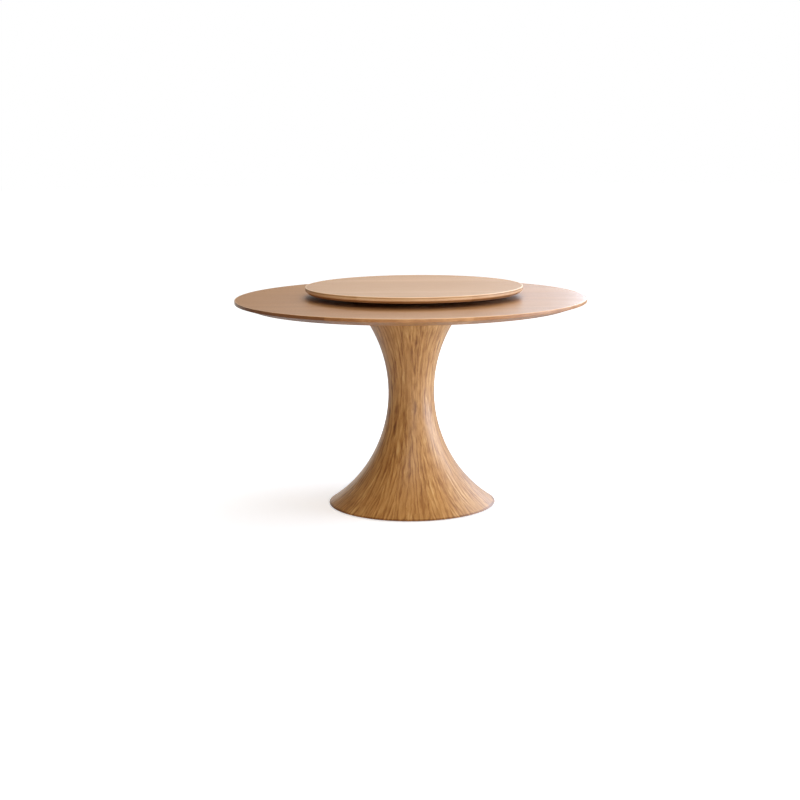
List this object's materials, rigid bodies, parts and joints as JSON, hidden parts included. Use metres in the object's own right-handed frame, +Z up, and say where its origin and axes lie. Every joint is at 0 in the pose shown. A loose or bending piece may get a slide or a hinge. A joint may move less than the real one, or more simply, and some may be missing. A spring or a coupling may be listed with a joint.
{
  "type": "round pedestal dining table with turntable",
  "caption": "Round veneered dining table on a trumpet-shaped wooden pedestal, with a loose round turntable that spins on a ball bearing.",
  "frame": {"origin": "on the floor, at the centre of the pedestal and the tabletop", "axes": "+Z up through the pedestal's centre, +X to the right in the picture, along the tabletop's grain, -Y towards the viewer"},
  "size_m": [1.27, 1.27, 0.802],
  "materials": {
    "oak_face": "satin clear lacquer over oak veneer",
    "oak_back": "satin clear lacquer over oak veneer",
    "oak_lipping": "satin clear lacquer over solid oak",
    "oak_pedestal": "satin clear lacquer over tapered oak veneer leaves",
    "plywood": "bare birch plywood",
    "black_steel": "matt black powder coat",
    "black_bolts": "black oxide",
    "zinc_steel": "bright zinc plate",
    "ball_steel": "polished steel",
    "race_alloy": "turned and clear anodised",
    "nylon_cage": "natural nylon",
    "nylon_glides": "dark nylon",
    "black_board": "matt black lacquer over plywood",
    "rubber_feet": "soft matt rubber"
  },
  "bodies": {
    "table": {"tabletop_core": "plywood", "tabletop_lipping": "oak_lipping", "tabletop_face_veneer": "oak_face", "tabletop_back_veneer": "oak_back", "tabletop_inserts": "zinc_steel", "tabletop_bolts": "black_bolts", "tabletop_washers": "zinc_steel", "top_plate": "black_steel", "top_plate_screws": "zinc_steel", "mouth_disc": "plywood", "pedestal_shell": "plywood", "pedestal_veneer": "oak_pedestal", "foot_ring": "plywood", "base_plate": "black_steel", "base_plate_screws": "zinc_steel", "floor_glides": "nylon_glides"},
    "turntable_stand": {"turntable_base": "black_board", "turntable_feet": "rubber_feet", "fixed_ring": "race_alloy", "fixed_ring_screws": "zinc_steel"},
    "ball_ring": {"bearing_balls": "ball_steel", "ball_cage": "nylon_cage"},
    "turntable": {"turntable_core": "plywood", "turntable_lipping": "oak_lipping", "turntable_face_veneer": "oak_face", "turntable_back_veneer": "oak_back", "turning_ring": "race_alloy", "turning_ring_screws": "zinc_steel"}
  },
  "joints": [
    {"name": "turntable_lift", "type": "slide", "parent": "table", "child": "turntable_stand", "axis": [0, 0, 1], "range_m": [0, 0.12]},
    {"name": "turntable_spin", "type": "hinge", "parent": "turntable_stand", "child": "turntable", "pos_m": [0.0126, 0, 0.7755], "axis": [0, 0, 1], "continuous": true},
    {"name": "ball_ring_spin", "type": "hinge", "parent": "turntable_stand", "child": "ball_ring", "pos_m": [0.0126, 0, 0.7755], "axis": [0, 0, 1], "continuous": true}
  ],
  "couplings": [
    {"joint": "ball_ring_spin", "follows": "turntable_spin", "ratio": 0.5}
  ]
}
